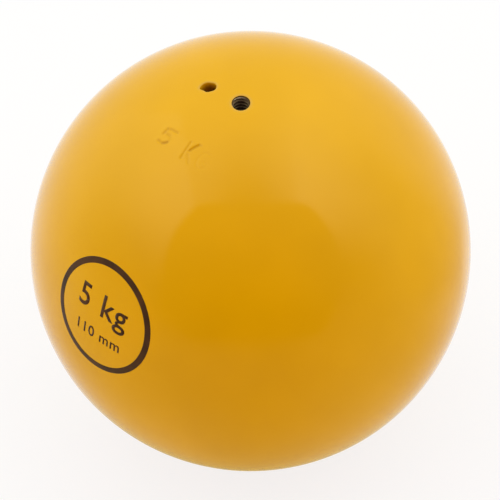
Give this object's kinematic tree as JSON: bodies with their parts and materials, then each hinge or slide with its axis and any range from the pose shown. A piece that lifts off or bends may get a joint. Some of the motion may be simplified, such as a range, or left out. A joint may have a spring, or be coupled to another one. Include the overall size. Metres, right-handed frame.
{
  "type": "shot put",
  "caption": "Enamelled cast-iron ball for throwing, with a tapped trimming bore that holds lead ballast behind a grub screw, and a plain blind hole beside it.",
  "frame": {"origin": "centre of the ball", "axes": "+Z out of the tapped trimming bore along its axis; -Y towards the side that carries the printed mark and that the picture shows; +X to the right of that side"},
  "size_m": [0.11, 0.11, 0.1099],
  "materials": {
    "yellow_enamel": "gloss",
    "lead": "matte",
    "nylon": "satin",
    "blackened_steel": "satin"
  },
  "bodies": {
    "ball": {"ball_body": "yellow_enamel", "ballast_slug_1": "lead", "ballast_slug_2": "lead", "ballast_slug_3": "lead"},
    "pad": {"swivel_pad": "nylon"},
    "screw": {"grub_screw": "blackened_steel"}
  },
  "joints": [
    {"name": "adjuster_travel", "type": "slide", "parent": "ball", "child": "pad", "axis": [0, 0, 1], "range_m": [0, 0.0127]},
    {"name": "adjuster_turn", "type": "hinge", "parent": "pad", "child": "screw", "pos_m": [0, 0, 0.045], "axis": [0, 0, 1], "range_deg": [0, 4320]}
  ],
  "couplings": [
    {"joint": "adjuster_turn", "follows": "adjuster_travel", "rad_per_m": 5936.9}
  ]
}
